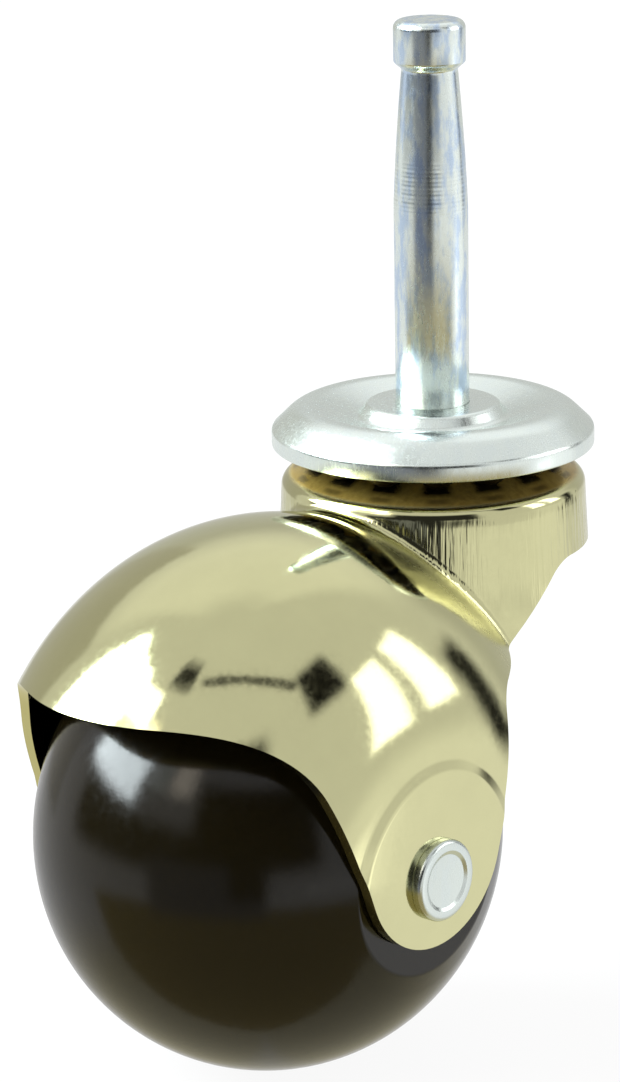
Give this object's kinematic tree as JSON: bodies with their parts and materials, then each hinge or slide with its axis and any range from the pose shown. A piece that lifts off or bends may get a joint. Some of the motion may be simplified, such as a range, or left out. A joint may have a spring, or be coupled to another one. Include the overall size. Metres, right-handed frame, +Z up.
{
  "type": "hooded ball castor",
  "caption": "Hooded ball castor for furniture: a moulded ball wheel under a drawn brass-plated hood that swivels on a ring of bearing balls below a gripping-neck stem.",
  "frame": {"origin": "on the stem's axis, at the flat seat of the cap's boss where the stem leaves it", "axes": "+Z up along the stem, -X towards the hood's nose, Y along the wheel's axle"},
  "size_m": [0.0724, 0.0492, 0.1079],
  "materials": {
    "zinc_plate": "bright zinc plated, lightly mottled",
    "brass_plate": "polished pale brass plating",
    "wheel_plastic": "glossy dark brown moulded plastic",
    "bearing_steel": "polished steel with a film of grease"
  },
  "bodies": {
    "stem_and_cap": {"stem": "zinc_plate", "top_cap": "zinc_plate", "retaining_washer": "zinc_plate"},
    "ball_ring": {"bearing_ball_01": "bearing_steel", "bearing_ball_02": "bearing_steel", "bearing_ball_03": "bearing_steel", "bearing_ball_04": "bearing_steel", "bearing_ball_05": "bearing_steel", "bearing_ball_06": "bearing_steel", "bearing_ball_07": "bearing_steel", "bearing_ball_08": "bearing_steel", "bearing_ball_09": "bearing_steel", "bearing_ball_10": "bearing_steel", "bearing_ball_11": "bearing_steel", "bearing_ball_12": "bearing_steel", "bearing_ball_13": "bearing_steel", "bearing_ball_14": "bearing_steel", "bearing_ball_15": "bearing_steel"},
    "swivel": {"hood": "brass_plate", "axle": "zinc_plate", "axle_sleeve": "zinc_plate"},
    "wheel": {"wheel": "wheel_plastic"}
  },
  "joints": [
    {"name": "swivel_turn", "type": "hinge", "parent": "stem_and_cap", "child": "swivel", "pos_m": [0, 0, 0], "axis": [0, 0, 1], "continuous": true},
    {"name": "ball_ring_roll", "type": "hinge", "parent": "stem_and_cap", "child": "ball_ring", "pos_m": [0, 0, 0], "axis": [0, 0, 1], "continuous": true},
    {"name": "wheel_roll", "type": "hinge", "parent": "swivel", "child": "wheel", "pos_m": [-0.0274, 0, -0.0412], "axis": [0, 1, 0], "continuous": true}
  ],
  "couplings": [
    {"joint": "ball_ring_roll", "follows": "swivel_turn", "ratio": 0.5}
  ]
}
